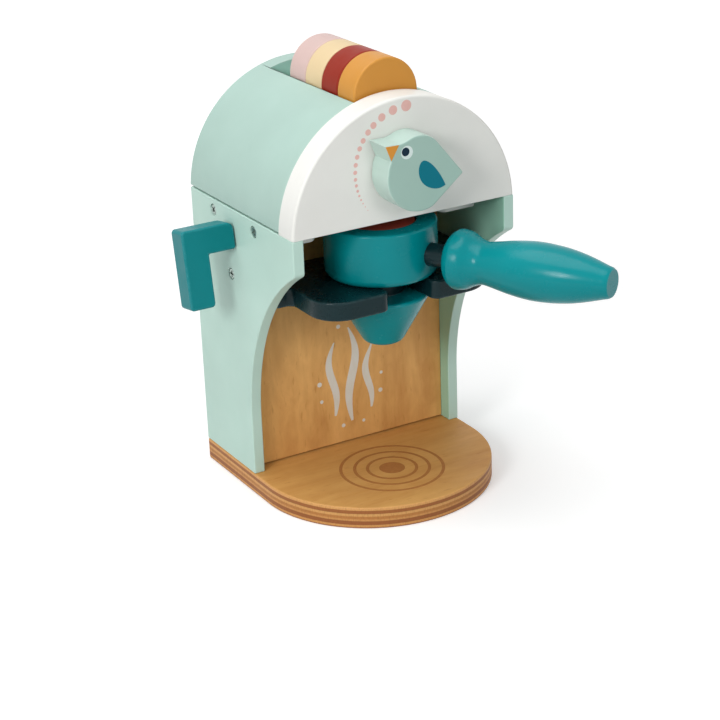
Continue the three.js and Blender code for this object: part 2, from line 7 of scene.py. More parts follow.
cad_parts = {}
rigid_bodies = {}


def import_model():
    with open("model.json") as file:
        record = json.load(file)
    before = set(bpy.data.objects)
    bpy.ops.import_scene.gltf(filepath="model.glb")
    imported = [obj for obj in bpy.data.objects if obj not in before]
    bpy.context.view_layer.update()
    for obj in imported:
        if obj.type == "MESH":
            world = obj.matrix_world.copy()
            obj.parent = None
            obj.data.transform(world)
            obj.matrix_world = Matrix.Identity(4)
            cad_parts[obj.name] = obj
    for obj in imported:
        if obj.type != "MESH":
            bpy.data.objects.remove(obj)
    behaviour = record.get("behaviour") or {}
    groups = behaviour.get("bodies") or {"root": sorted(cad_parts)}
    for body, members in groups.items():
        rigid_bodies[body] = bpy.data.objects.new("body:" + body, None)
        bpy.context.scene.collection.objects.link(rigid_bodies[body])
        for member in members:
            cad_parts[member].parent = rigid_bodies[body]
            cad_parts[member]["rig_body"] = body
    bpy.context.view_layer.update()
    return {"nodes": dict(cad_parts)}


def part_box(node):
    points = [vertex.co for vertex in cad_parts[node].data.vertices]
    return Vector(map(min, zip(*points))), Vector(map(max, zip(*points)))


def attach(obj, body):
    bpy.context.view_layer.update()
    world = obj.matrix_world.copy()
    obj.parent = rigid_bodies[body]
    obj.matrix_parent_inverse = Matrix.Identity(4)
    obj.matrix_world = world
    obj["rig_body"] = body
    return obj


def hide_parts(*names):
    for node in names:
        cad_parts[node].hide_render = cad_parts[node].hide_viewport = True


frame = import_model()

MM = 0.001

# Camera, fitted to the photograph, in degrees and millimetres
VIEW_AZIMUTH = -29.54
VIEW_ELEVATION = 22.43
VIEW_ROLL = -2.13
VIEW_DISTANCE = 1145.2
VIEW_TARGET = (-34.34, 0.0, 103.22)
VIEW_LENS = 97.676
SENSOR_WIDTH = 36.0

# Finish of the edges and prints, and the seams, in millimetres
BOARD_EASE = 1.1
PANEL_EASE = 0.7
PLATE_EASE = 1.7
SHELF_EASE = 1.1
LEVER_EASE = 1.3
CAPSULE_EASE = 1.3
BIRD_EASE = 1.0
PRINT_PROUD = 0.06
PRINT_SUNK = 0.3
THIN_EASE = 0.5
SEAM_GAP = 1.2
BACK_GAP = 0.75

# How far a cutter runs past a face and two joined blocks overlap, and what is still welded
OVERRUN = 5
OVERLAP = 1
OVERCUT = 0.1
WELD = 0.0005

# How near a face or an edge must lie to a place to be meant, and how well it must point
LOOSE = 1
NEAR = 0.05
HAIR = 0.01
FACING = 0.75
ALONG = 0.9

# Facets of round shapes, the segments of an eased edge and the angle from which it is one
ARC_FACETS = 160
DISC_FACETS = 128
TURNED_FACETS = 96
BORE_FACETS = 64
PIN_HOLE_FACETS = 48
SCREW_FACETS = 40
EASE_SEGMENTS = 4
EASE_ANGLE = 40


# Selecting and shaping

def mm(*values):
    return Vector([value * MM for value in values])


def corners(node_name):
    low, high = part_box(node_name)
    return low / MM, high / MM


def middle_of(node_name):
    low, high = corners(node_name)
    return (low + high) / 2


def new_object(name, data):
    made = bpy.data.objects.new(name, data)
    bpy.context.scene.collection.objects.link(made)
    return made


def activate(piece):
    bpy.ops.object.select_all(action="DESELECT")
    piece.select_set(True)
    bpy.context.view_layer.objects.active = piece


def settle_place(piece):
    activate(piece)
    bpy.ops.object.transform_apply(location=True, rotation=True, scale=True)


def pick(piece, kind="FACE", test=lambda middle, direction: True):
    """Selects the faces or edges whose middle and direction pass a test, and enters edit mode."""
    activate(piece)
    mesh = piece.data
    for items in (mesh.vertices, mesh.edges, mesh.polygons):
        items.foreach_set("select", [False] * len(items))
    if kind == "FACE":
        for face in mesh.polygons:
            face.select = bool(test(face.center / MM, face.normal))
    else:
        for edge in mesh.edges:
            a, b = (mesh.vertices[i].co for i in edge.vertices)
            edge.select = bool(test((a + b) / 2 / MM, (b - a).normalized()))
    bpy.context.tool_settings.mesh_select_mode = (False, kind == "EDGE", kind == "FACE")
    bpy.ops.object.mode_set(mode="EDIT")


def leave_edit():
    bpy.ops.object.mode_set(mode="OBJECT")


def close_edit(weld=False):
    """Welds corners that meet, if asked, turns all faces outward and leaves edit mode."""
    bpy.ops.mesh.select_all(action="SELECT")
    if weld:
        bpy.ops.mesh.remove_doubles(threshold=WELD * MM)
    bpy.ops.mesh.normals_make_consistent(inside=False)
    leave_edit()


def block(low, high):
    low, high = Vector(low), Vector(high)
    bpy.ops.mesh.primitive_cube_add(size=1, location=mm(*((low + high) / 2)))
    piece = bpy.context.object
    piece.scale = mm(*(high - low))
    settle_place(piece)
    return piece


def drum(radius, start, end, facets=ARC_FACETS):
    """A round bar between two points."""
    start, end = Vector(start), Vector(end)
    along = end - start
    turn = along.to_track_quat("Z", "Y").to_euler()
    bpy.ops.mesh.primitive_cylinder_add(
        vertices=facets, radius=radius * MM, depth=along.length * MM,
        location=mm(*((start + end) / 2)), rotation=turn)
    piece = bpy.context.object
    settle_place(piece)
    return piece


def combine(piece, other, operation):
    activate(piece)
    step = piece.modifiers.new("combine", "BOOLEAN")
    step.operation = operation
    step.solver = "EXACT"
    step.object = other
    bpy.ops.object.modifier_apply(modifier=step.name)
    bpy.data.objects.remove(other)
    return piece


def carve(piece, *cutters):
    for cutter in cutters:
        combine(piece, cutter, "DIFFERENCE")


def cut_away(piece, place, normal):
    """Bisects a piece, drops what lies on the normal's side, and closes it."""
    pick(piece)
    bpy.ops.mesh.bisect(plane_co=mm(*place), plane_no=normal, use_fill=True,
                        clear_outer=True)
    leave_edit()
    return piece


def round_edges(piece, test, radius, segments=8):
    pick(piece, "EDGE", test)
    bpy.ops.mesh.bevel(offset=radius * MM, segments=segments, affect="EDGES",
                       clamp_overlap=False)
    leave_edit()


def ease(piece, width, segments=EASE_SEGMENTS):
    """Rounds every sharp edge, as sanding does, and evens the shading of the flat faces."""
    activate(piece)
    bevel = piece.modifiers.new("ease", "BEVEL")
    bevel.width = width * MM
    bevel.segments = segments
    bevel.limit_method = "ANGLE"
    bevel.angle_limit = math.radians(EASE_ANGLE)
    bevel.use_clamp_overlap = False
    bpy.ops.object.modifier_apply(modifier=bevel.name)
    smooth(piece)


def smooth(piece, angle=35):
    activate(piece)
    bpy.ops.object.shade_smooth_by_angle(angle=math.radians(angle))
    weigh = piece.modifiers.new("even", "WEIGHTED_NORMAL")
    weigh.keep_sharp = True
    bpy.ops.object.modifier_apply(modifier=weigh.name)
    return piece


def turned(rings, facets=TURNED_FACETS):
    """A lathe-turned body along +Z, drawn up ring by ring from its first flat end."""
    radius, height = rings[0]
    bpy.ops.mesh.primitive_circle_add(vertices=facets, radius=radius * MM,
                                      fill_type="NGON", location=mm(0, 0, height))
    piece = bpy.context.object
    settle_place(piece)
    pick(piece)
    for next_radius, next_height in rings[1:]:
        bpy.ops.mesh.extrude_region_move(
            TRANSFORM_OT_translate={"value": mm(0, 0, next_height - height)})
        share = next_radius / radius
        bpy.ops.transform.resize(value=(share, share, 1),
                                 center_override=mm(0, 0, next_height))
        radius, height = next_radius, next_height
    close_edit()
    return piece


def swing(piece, place):
    """Moves a piece that was modelled round the origin to its place, by a matrix."""
    piece.matrix_world = place @ piece.matrix_world
    settle_place(piece)
    return piece


def arc(x, y, radius, start, end, steps=6):
    """Points of an arc, in degrees."""
    points = []
    for i in range(steps + 1):
        angle = math.radians(start + (end - start) * i / steps)
        points.append((x + radius * math.cos(angle), y + radius * math.sin(angle)))
    return points


def ring(x, y, radius, facets):
    """Points of a whole circle, with none of them twice."""
    return arc(x, y, radius, 0, 360 - 360 / facets, facets - 1)


def flat_curve(outlines, thick, edge=0.0):
    """Closed outlines in X and Y, filled and drawn up to a thickness, as a mesh."""
    curve = bpy.data.curves.new("outline", "CURVE")
    curve.dimensions = "2D"
    curve.fill_mode = "BOTH"
    curve.extrude = (thick / 2 - edge) * MM
    curve.bevel_depth = edge * MM
    curve.bevel_resolution = EASE_SEGMENTS - 1
    curve.offset = -edge * MM
    for outline in outlines:
        spline = curve.splines.new("POLY")
        spline.points.add(len(outline) - 1)
        for point, (x, y) in zip(spline.points, outline):
            point.co = (x * MM, y * MM, 0, 1)
        spline.use_cyclic_u = True
    activate(new_object("outline", curve))
    bpy.ops.object.convert(target="MESH")
    piece = bpy.context.object
    pick(piece)
    close_edit(weld=True)
    return piece


def upright(x, y, z):
    """The place that stands what was drawn flat up in X and Z, with its +Z to the front."""
    return Matrix.Translation(mm(x, y, z)) @ Matrix.Rotation(math.radians(90), 4, "X")


def bezier(start, bends, end, steps):
    """Points of one Bezier piece, without its first point."""
    control = [Vector(start), *[Vector(bend) for bend in bends], Vector(end)]
    points = []
    for i in range(1, steps + 1):
        layer, share = control, i / steps
        while len(layer) > 1:
            layer = [a.lerp(b, share) for a, b in zip(layer, layer[1:])]
        points.append(tuple(layer[0]))
    return points


# Materials

def linear(colour):
    """An sRGB colour of 0 to 255 as Blender's linear values."""
    values = []
    for value in colour:
        share = value / 255
        values.append(share / 12.92 if share <= 0.04045 else ((share + 0.055) / 1.055) ** 2.4)
    return (*values, 1.0)


def wire(tree, source, target):
    """Gives a socket a value, or links it to another socket or to a node's first output."""
    if isinstance(source, (int, float, tuple)):
        target.default_value = source
    else:
        tree.links.new(source.outputs[0] if hasattr(source, "outputs") else source, target)


def node(tree, kind, inputs=None, **settings):
    """A new node, with what goes into its inputs by their names or numbers."""
    made = tree.nodes.new(kind)
    for name, value in settings.items():
        setattr(made, name, value)
    for key, source in (inputs or {}).items():
        wire(tree, source, made.inputs[key])
    return made


def object_place(tree):
    return node(tree, "ShaderNodeTexCoord").outputs["Object"]


def new_group(name, inputs, outputs):
    tree = bpy.data.node_groups.new(name, "ShaderNodeTree")
    for label, kind, default in inputs:
        made = tree.interface.new_socket(name=label, in_out="INPUT", socket_type=kind)
        made.default_value = default
    for label, kind in outputs:
        tree.interface.new_socket(name=label, in_out="OUTPUT", socket_type=kind)
    return tree, node(tree, "NodeGroupInput"), node(tree, "NodeGroupOutput")


def stretched_noise(tree, vector, stretch, scale, detail, roughness=0.5, distortion=0.0):
    place = node(tree, "ShaderNodeMapping", {"Vector": vector, "Scale": stretch})
    return node(tree, "ShaderNodeTexNoise", {
        "Vector": place, "Scale": scale, "Detail": detail, "Roughness": roughness,
        "Distortion": distortion})


def remap(tree, source, low, high, to_low, to_high):
    return node(tree, "ShaderNodeMapRange", {
        "Value": source, "From Min": low, "From Max": high, "To Min": to_low, "To Max": to_high})


def math_node(tree, operation, first, second):
    return node(tree, "ShaderNodeMath", {0: first, 1: second}, operation=operation)


def mix_colour(tree, share, first, second, blend="MIX"):
    made = node(tree, "ShaderNodeMix", {0: share, 6: first, 7: second}, data_type="RGBA",
                blend_type=blend)
    return made.outputs[2]


def bump(tree, height, strength, depth):
    """A normal from a height, whose full depth is in millimetres."""
    return node(tree, "ShaderNodeBump", {
        "Height": height, "Strength": strength, "Distance": depth * MM})


# How far wear and the painted edge highlight reach from an edge, in millimetres
WEAR_REACH = 1.4


def wear_and_highlight_edges(tree):
    """Near 1 along the rounded edges, where handling thins and polishes the finish, and where a
    light edge colour is also a painted highlight.
    """
    soft = node(tree, "ShaderNodeBevel", {"Radius": WEAR_REACH * MM}, samples=4)
    true = node(tree, "ShaderNodeNewGeometry")
    dot = node(tree, "ShaderNodeVectorMath", {0: soft, 1: true.outputs["Normal"]},
               operation="DOT_PRODUCT")
    return remap(tree, dot.outputs["Value"], 0.995, 0.9, 0.0, 1.0)


def build_paint_film():
    tree, given, put = new_group("paint_film", [
        ("Colour", "NodeSocketColor", (0.8, 0.8, 0.8, 1)),
        ("Edge Colour", "NodeSocketColor", (0.9, 0.9, 0.9, 1)),
        ("Edge Amount", "NodeSocketFloat", 0.2),
        ("Roughness", "NodeSocketFloat", 0.45),
        ("Peel", "NodeSocketFloat", 0.1),
    ], [("Colour", "NodeSocketColor"), ("Roughness", "NodeSocketFloat"),
        ("Normal", "NodeSocketVector")])
    place = object_place(tree)
    clouds = stretched_noise(tree, place, (1, 1, 1), 28, 3)
    shade = remap(tree, clouds, 0.3, 0.7, 0.965, 1.02)
    grey = node(tree, "ShaderNodeCombineColor", {0: shade, 1: shade, 2: shade})
    body = mix_colour(tree, 1.0, given.outputs["Colour"], grey, "MULTIPLY")
    # Rounded edges take the edge colour: worn paint, and where that colour is light and strong, a
    # painted highlight.
    rubbed = stretched_noise(tree, place, (1, 1, 1), 210, 4)
    patchy = remap(tree, rubbed, 0.35, 0.62, 0.25, 1.0)
    wear_and_highlight_share = math_node(tree, "MULTIPLY", wear_and_highlight_edges(tree), patchy)
    amount = math_node(tree, "MULTIPLY", wear_and_highlight_share, given.outputs["Edge Amount"])
    wire(tree, mix_colour(tree, amount, body, given.outputs["Edge Colour"]),
         put.inputs["Colour"])
    smear = stretched_noise(tree, place, (1, 1, 1), 95, 4, 0.6)
    spread = remap(tree, smear, 0.3, 0.7, -0.06, 0.07)
    rough = math_node(tree, "ADD", given.outputs["Roughness"], spread)
    wire(tree, math_node(tree, "SUBTRACT", rough, math_node(tree, "MULTIPLY", wear_and_highlight_share, 0.06)),
         put.inputs["Roughness"])
    peel = stretched_noise(tree, place, (1, 1, 1), 850, 2)
    grain = stretched_noise(tree, place, (1, 1, 0.08), 900, 2)
    height = math_node(tree, "ADD", peel, math_node(tree, "MULTIPLY", grain, 0.6))
    wire(tree, bump(tree, height, given.outputs["Peel"], 0.15), put.inputs["Normal"])
    return tree


def build_wood_grain():
    tree, given, put = new_group("wood_grain", [
        ("Place", "NodeSocketVector", (0, 0, 0)),
        ("Light", "NodeSocketColor", (0.6, 0.4, 0.2, 1)),
        ("Dark", "NodeSocketColor", (0.4, 0.25, 0.1, 1)),
        ("Contrast", "NodeSocketFloat", 0.6),
    ], [("Colour", "NodeSocketColor"), ("Roughness", "NodeSocketFloat"),
        ("Normal", "NodeSocketVector")])
    place = given.outputs["Place"]
    cloud = stretched_noise(tree, place, (1, 1, 0.28), 42, 4, 0.55, 0.6)
    mottle = stretched_noise(tree, place, (1, 1, 0.45), 130, 4, 0.6, 0.8)
    streak = stretched_noise(tree, place, (1, 1, 0.05), 330, 6, 0.62, 0.25)
    fibre = stretched_noise(tree, place, (1, 1, 0.03), 1500, 3)
    squeeze = node(tree, "ShaderNodeMapping", {
        "Vector": place, "Location": (0.33, 0.21, 0), "Scale": (1, 1, 0.1)})
    cathedral = node(tree, "ShaderNodeTexWave", {
        "Vector": squeeze, "Scale": 16, "Distortion": 5.0, "Detail": 3, "Detail Scale": 0.7,
    }, wave_type="RINGS", rings_direction="Z")
    share = 0.0
    for layer, weight in ((cloud, 0.9), (streak, 0.25), (mottle, 0.45), (cathedral, 0.1)):
        share = math_node(tree, "ADD", share, math_node(tree, "MULTIPLY", layer, weight))
    centred = remap(tree, share, 0.62, 1.08, 0.0, 1.0)
    toned = math_node(tree, "MULTIPLY", centred, given.outputs["Contrast"])
    body = mix_colour(tree, toned, given.outputs["Light"], given.outputs["Dark"])
    fleck = stretched_noise(tree, place, (1, 1, 0.22), 520, 2)
    pores = math_node(tree, "MAXIMUM", remap(tree, fibre, 0.62, 0.72, 0.0, 0.14),
                      remap(tree, fleck, 0.64, 0.74, 0.0, 0.4))
    wire(tree, mix_colour(tree, pores, body, given.outputs["Dark"]), put.inputs["Colour"])
    wire(tree, remap(tree, streak, 0.3, 0.7, 0.42, 0.6), put.inputs["Roughness"])
    wire(tree, bump(tree, math_node(tree, "ADD", streak, fibre), 0.12, 0.15),
         put.inputs["Normal"])
    return tree


def new_material(name, **surface):
    material = bpy.data.materials.new(name)
    material.use_nodes = True
    shader = material.node_tree.nodes["Principled BSDF"]
    for label, value in surface.items():
        shader.inputs[label.replace("_", " ")].default_value = value
    return material, material.node_tree, shader


def use_group(tree, group, shader, **inputs):
    named = {label.replace("_", " "): source for label, source in inputs.items()}
    placed = node(tree, "ShaderNodeGroup", named, node_tree=group)
    for output, target in (("Colour", "Base Color"), ("Roughness", "Roughness"),
                           ("Normal", "Normal")):
        wire(tree, placed.outputs[output], shader.inputs[target])


paint_film = build_paint_film()
wood_grain = build_wood_grain()


# edge is the colour that the rounded edges take: worn paint, and on the shelf and the lever also
# a painted highlight.
def paint(name, colour, edge, wear_and_highlight_amount=0.25, roughness=0.45, peel=0.1, gloss=0.45):
    material, tree, shader = new_material(name, IOR=1.45, Specular_IOR_Level=gloss)
    use_group(tree, paint_film, shader, Colour=linear(colour), Edge_Colour=linear(edge),
              Edge_Amount=wear_and_highlight_amount, Roughness=roughness, Peel=peel)
    return material


def wood(name, light, dark, contrast, lie=(0, 0, 0), shift=(0, 0, 0)):
    """Clear-coated wood. Its grain runs along Z after a turn, lie, in degrees, and a shift."""
    material, tree, shader = new_material(name, IOR=1.47, Specular_IOR_Level=0.3,
                                          Coat_Weight=0.06, Coat_Roughness=0.35)
    place = node(tree, "ShaderNodeMapping", {
        "Vector": object_place(tree), "Location": shift,
        "Rotation": tuple(math.radians(angle) for angle in lie)})
    use_group(tree, wood_grain, shader, Light=linear(light), Dark=linear(dark),
              Contrast=contrast, Place=place)
    return material


# Plies from the lowest up: where each starts, as a share of the board, and its colour
PLIES = [
    (0.0, (150, 88, 44)), (0.07, (212, 151, 82)), (0.18, (152, 88, 36)),
    (0.36, (206, 146, 79)), (0.45, (186, 122, 58)), (0.58, (216, 161, 92)),
    (0.7, (158, 94, 40)), (0.86, (220, 162, 93)),
]
PLY_BLUR = 0.012
PLY_WOBBLE = 0.5
PORE_BROWN = (112, 62, 30)


def ply_edge(name, axis, low, high):
    """The sawn edge of a plywood board, with its plies stacked along one axis."""
    material, tree, shader = new_material(name, IOR=1.47, Coat_Weight=0.08,
                                          Coat_Roughness=0.35)
    place = object_place(tree)
    apart = node(tree, "ShaderNodeSeparateXYZ", {0: place})
    wobble = stretched_noise(tree, place, (1, 1, 1), 60, 3)
    along = math_node(tree, "ADD", apart.outputs["XYZ".index(axis)],
                      math_node(tree, "MULTIPLY", math_node(tree, "SUBTRACT", wobble, 0.5),
                                PLY_WOBBLE * MM))
    share = remap(tree, along, low * MM, high * MM, 0.0, 1.0)
    ramp = node(tree, "ShaderNodeValToRGB", {0: share})
    stops = ramp.color_ramp.elements
    stops[0].color = linear(PLIES[0][1])
    stops[1].color = linear(PLIES[-1][1])
    for (start, colour), (_, last) in zip(PLIES[1:], PLIES):
        for position, tone in ((start - PLY_BLUR, last), (start + PLY_BLUR, colour)):
            stops.new(position).color = linear(tone)
    speck = stretched_noise(tree, place, (1, 1, 0.35), 1300, 3, 0.6)
    end_grain = remap(tree, speck, 0.45, 0.68, 0.0, 0.25)
    wire(tree, mix_colour(tree, end_grain, ramp, linear(PORE_BROWN)),
         shader.inputs["Base Color"])
    wire(tree, remap(tree, speck, 0.3, 0.7, 0.48, 0.66), shader.inputs["Roughness"])
    wire(tree, bump(tree, speck, 0.22, 0.2), shader.inputs["Normal"])
    return material


def ink(name, colour, body, density=0.9):
    """Printed ink, a little uneven. Where it is thin, what lies under it shows through."""
    material, tree, shader = new_material(name, IOR=1.46, Specular_IOR_Level=0.2)
    place = object_place(tree)
    cover = stretched_noise(tree, place, (1, 1, 0.3), 420, 4, 0.6)
    thin = remap(tree, cover, 0.4, 0.75, 0.0, 1.0 - density)
    wire(tree, mix_colour(tree, thin, linear(colour), linear(body)), shader.inputs["Base Color"])
    wire(tree, remap(tree, cover, 0.3, 0.7, 0.46, 0.58), shader.inputs["Roughness"])
    return material


def screw_steel():
    material, tree, shader = new_material("zinc_screw_steel", Metallic=1.0)
    place = object_place(tree)
    stain = stretched_noise(tree, place, (1, 1, 1), 900, 4, 0.6)
    wire(tree, mix_colour(tree, remap(tree, stain, 0.35, 0.7, 0, 1),
                          linear((184, 200, 193)), linear((114, 131, 124))),
         shader.inputs["Base Color"])
    wire(tree, remap(tree, stain, 0.3, 0.7, 0.38, 0.54), shader.inputs["Roughness"])
    wire(tree, bump(tree, stain, 0.15, 0.05), shader.inputs["Normal"])
    return material


mint = paint("mint_paint", (191, 222, 210), (212, 232, 224), 0.2)
# A darker, more saturated copy of the mint for the panels' inner faces: painted shade, where the
# bay's shade falls.
painted_shade_inner_mint = paint("inner_face_painted_shade", (162, 211, 189), (206, 229, 219))
hood_mint = paint("hood_mint_paint", (170, 199, 189), (208, 228, 220))
# A lighter, more saturated copy of the mint for the slot's walls, floor and cut edges: painted
# light, making up for the shade inside the slot.
painted_light_slot_mint = paint("slot_painted_light_paint", (180, 226, 213), (206, 229, 219))
chalk = paint("white_paint", (236, 236, 231), (242, 242, 238), roughness=0.42)
teal = paint("teal_paint", (0, 137, 143), (60, 172, 175), 0.18, 0.23, 0.05, gloss=0.2)
# The lever's pale edge colour is partly wear and partly a painted highlight along its edges and
# top.
lever_teal = paint("lever_teal_paint", (0, 123, 128), (122, 196, 204), 0.55, 0.36, 0.08,
                   gloss=0.2)
# The shelf's pale edge colour, at a high amount, is a painted highlight along its edges, on top
# of some wear.
night = paint("dark_navy_paint", (9, 38, 42), (104, 140, 142), 0.55, 0.28, 0.03, gloss=0.22)
sage = paint("bird_sage_paint", (163, 195, 184), (200, 224, 214))
pale_sage = paint("bird_rim_paint", (184, 208, 198), (208, 226, 219))
ochre = paint("ochre_paint", (207, 143, 54), (226, 172, 94))
brick = paint("brick_red_paint", (146, 42, 25), (180, 84, 58), 0.15, gloss=0.2)
straw = paint("pale_yellow_paint", (226, 202, 158), (238, 220, 184))
blush = paint("pale_pink_paint", (212, 184, 178), (230, 210, 205))
coral = paint("coral_paint", (190, 72, 52), (214, 112, 88), 0.22)
back_veneer = wood("back_panel_veneer", (236, 183, 111), (182, 120, 56), 0.62)
base_veneer = wood("base_veneer", (222, 169, 98), (184, 119, 52), 0.5, (0, 90, 0),
                   (0.4, 0.1, 0.2))
beech = wood("bare_beech", (222, 190, 146), (196, 156, 108), 0.7, (0, 90, 0))
steel = screw_steel()


# Joining each piece to the frame

BODY_OF = {name: piece["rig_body"] for name, piece in frame["nodes"].items()}


def coat(piece, *materials):
    piece.data.materials.clear()
    for material in materials:
        piece.data.materials.append(material)


def add_on(piece, name, node_name, *materials, slot=None):
    """Names and coats a finished piece that rides with a node."""
    piece.name = name
    piece.data.name = name
    coat(piece, *materials)
    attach(piece, BODY_OF[node_name])


def fit(piece, name, node_name, *materials):
    """Names and coats a finished piece, and lets it stand for its CAD node."""
    add_on(piece, name, node_name, *materials)
    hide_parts(node_name)


def print_on(outlines, place, name, node_name, material, proud=PRINT_PROUD, slot=None):
    """A print: a film that is sunk in the face at a place and stands a hair proud of it."""
    film = flat_curve(outlines, proud + PRINT_SUNK)
    swing(film, place @ Matrix.Translation(mm(0, 0, (proud - PRINT_SUNK) / 2)))
    add_on(film, name, node_name, material, slot=slot)


def paint_faces(piece, test):
    """Gives the faces whose middle and direction pass a test the piece's second material."""
    for face in piece.data.polygons:
        if test(face.center / MM, face.normal):
            face.material_index = 1


# Screws

HEAD_RADIUS = 3.2
HEAD_CLEAR = 0.6
HEAD_DEPTH = 2.6
SINK_DEPTH = 3
SHANK_RADIUS = 1.6
TIP_RADIUS = 0.3
TIP_LENGTH = 3

# The head's rim, as steps in from its radius and down from its face
RIM_STEPS = [(0, 0.6), (0, 0.4), (0.15, 0.2), (0.5, 0.1)]

# The cross recess: half its span, half its width and its depth, and where it starts above
RECESS = (2.1, 0.55, 1.8)
RECESS_START = -1

# The first screw's turn, and how much further each next one was driven
FIRST_TURN = 84
NEXT_TURN = 61
SCREW_NODES = sorted(name for name in frame["nodes"] if "screw" in name)


def screw_line(name):
    """The middle of a screw's head, the way that it points into the wood, and its length."""
    low, high = corners(name)
    if name.startswith("base_screw"):
        toward = Vector((0, 0, 1))
    elif name.startswith("shelf_screw"):
        toward = Vector((0, -1, 0))
    else:
        toward = Vector((-1 if "right" in name else 1, 0, 0))
    length = abs((high - low).dot(toward))
    return (low + high) / 2 - toward * length / 2, toward, length


def screw_sinks(start):
    """Cutters for the sunk mouths of the holes of the screws whose names start so."""
    sinks = []
    for head, toward, _ in (screw_line(name) for name in SCREW_NODES if name.startswith(start)):
        sinks.append(drum(HEAD_RADIUS + HEAD_CLEAR, head - toward * OVERRUN,
                          head + toward * SINK_DEPTH, SCREW_FACETS))
    return sinks


def build_screws():
    for index, name in enumerate(SCREW_NODES):
        head, toward, length = screw_line(name)
        screw = turned([
            (TIP_RADIUS, length), (SHANK_RADIUS, length - TIP_LENGTH),
            (SHANK_RADIUS, HEAD_DEPTH), *[(HEAD_RADIUS - step, down) for step, down in RIM_STEPS],
        ], SCREW_FACETS)
        reach, half, deep = RECESS
        arm = block((-reach, -half, RECESS_START), (reach, half, deep))
        cross = block((-half, -reach, RECESS_START), (half, reach, deep))
        carve(screw, arm, cross)
        inward = toward.to_track_quat("Z", "Y").to_matrix().to_4x4()
        turn = math.radians(FIRST_TURN + NEXT_TURN * index)
        place = Matrix.Translation(mm(*head)) @ inward @ Matrix.Rotation(turn, 4, "Z")
        smooth(swing(screw, place), angle=30)
        fit(screw, f"{name}_cross_head", name, steel)


# Base and walls

def build_base():
    low, high = corners("base_board")
    radius = high.x
    centre = low.y + radius
    board = drum(radius, (0, centre, low.z), (0, centre, high.z), 2 * ARC_FACETS)
    cut_away(board, (0, centre, 0), (0, 1, 0))
    pick(board, "FACE", lambda middle, facing: facing.y > FACING)
    bpy.ops.mesh.extrude_region_move(
        TRANSFORM_OT_translate={"value": mm(0, high.y - centre, 0)})
    leave_edit()
    ease(board, BOARD_EASE)
    carve(board, *screw_sinks("base_screw"))
    smooth(board)
    edge = ply_edge("base_ply_edge", "Z", low.z, high.z)
    fit(board, "round_front_base", "base_board", base_veneer, edge)
    paint_faces(board, lambda middle, facing: abs(facing.z) < FACING)


def outer_round(level, centre, radius, round_radius):
    """Where a round that touches an arc from outside lies: how far off, and the touch's level."""
    apart = radius + round_radius
    away = math.sqrt(apart ** 2 - (level - centre) ** 2)
    return away, centre + (level - centre) * radius / apart


# The sides' arched front edge and its nose, from the frame's origin
ARCH_RADIUS = 127.0
ARCH_SPRING = 51.5
FOOT_FRONT = 65.5
NOSE_ROUND = 4.5
PIN_HOLE_RADIUS = 3.15


def build_side(side):
    node_name = f"{side}_side_panel"
    low, high = corners(node_name)
    panel = block(low, high)
    reach = 4 * OVERRUN
    left, right = low.x - reach, high.x + reach
    centre = FOOT_FRONT - ARCH_RADIUS
    arch = drum(ARCH_RADIUS, (left, centre, ARCH_SPRING), (right, centre, ARCH_SPRING),
                3 * ARC_FACETS)
    foot = block((left, low.y - reach, low.z - reach), (right, FOOT_FRONT, ARCH_SPRING))

    # What is left of a small block round the nose's own roundness is sawn off. The round is
    # cut a hair larger, so that it crosses the faces that it joins.
    away, touch = outer_round(NOSE_ROUND, centre, ARCH_RADIUS, NOSE_ROUND)
    nose = ARCH_SPRING + away
    offcut = block((left, low.y - reach, ARCH_SPRING + NOSE_ROUND), (right, touch, nose))
    carve(offcut, drum(NOSE_ROUND + OVERCUT, (left - reach, NOSE_ROUND, nose),
                       (right + reach, NOSE_ROUND, nose), BORE_FACETS))
    carve(panel, arch, foot, offcut)
    ease(panel, PANEL_EASE)
    sinks = screw_sinks(f"screw_{side}")
    if side == "left":
        hole = middle_of("lever_axle")
        sinks.append(drum(PIN_HOLE_RADIUS, (left, hole.y, hole.z), (right, hole.y, hole.z),
                          PIN_HOLE_FACETS))
    carve(panel, *sinks)
    smooth(panel)
    fit(panel, f"arched_side_{side}", node_name, mint, painted_shade_inner_mint)
    inward = 1 if side == "left" else -1
    # The inner faces get the painted-shade copy of the mint.
    paint_faces(panel, lambda middle, facing: facing.x * inward > FACING)


def build_back():
    low, high = corners("back_panel")
    panel = block(low + Vector((0, 0, BACK_GAP)), high)
    carve(panel, *screw_sinks("shelf_screw"))
    ease(panel, THIN_EASE)
    edge = ply_edge("back_ply_edge", "Y", low.y, high.y)
    fit(panel, "natural_back", "back_panel", back_veneer, edge)
    paint_faces(panel, lambda middle, facing: abs(facing.y) < FACING)


CUTOUT_RADIUS = 43.0
CUTOUT_ROUND = 5.0
FLOOR_CORNER = 2.5
FLOOR_EASE = 1.0


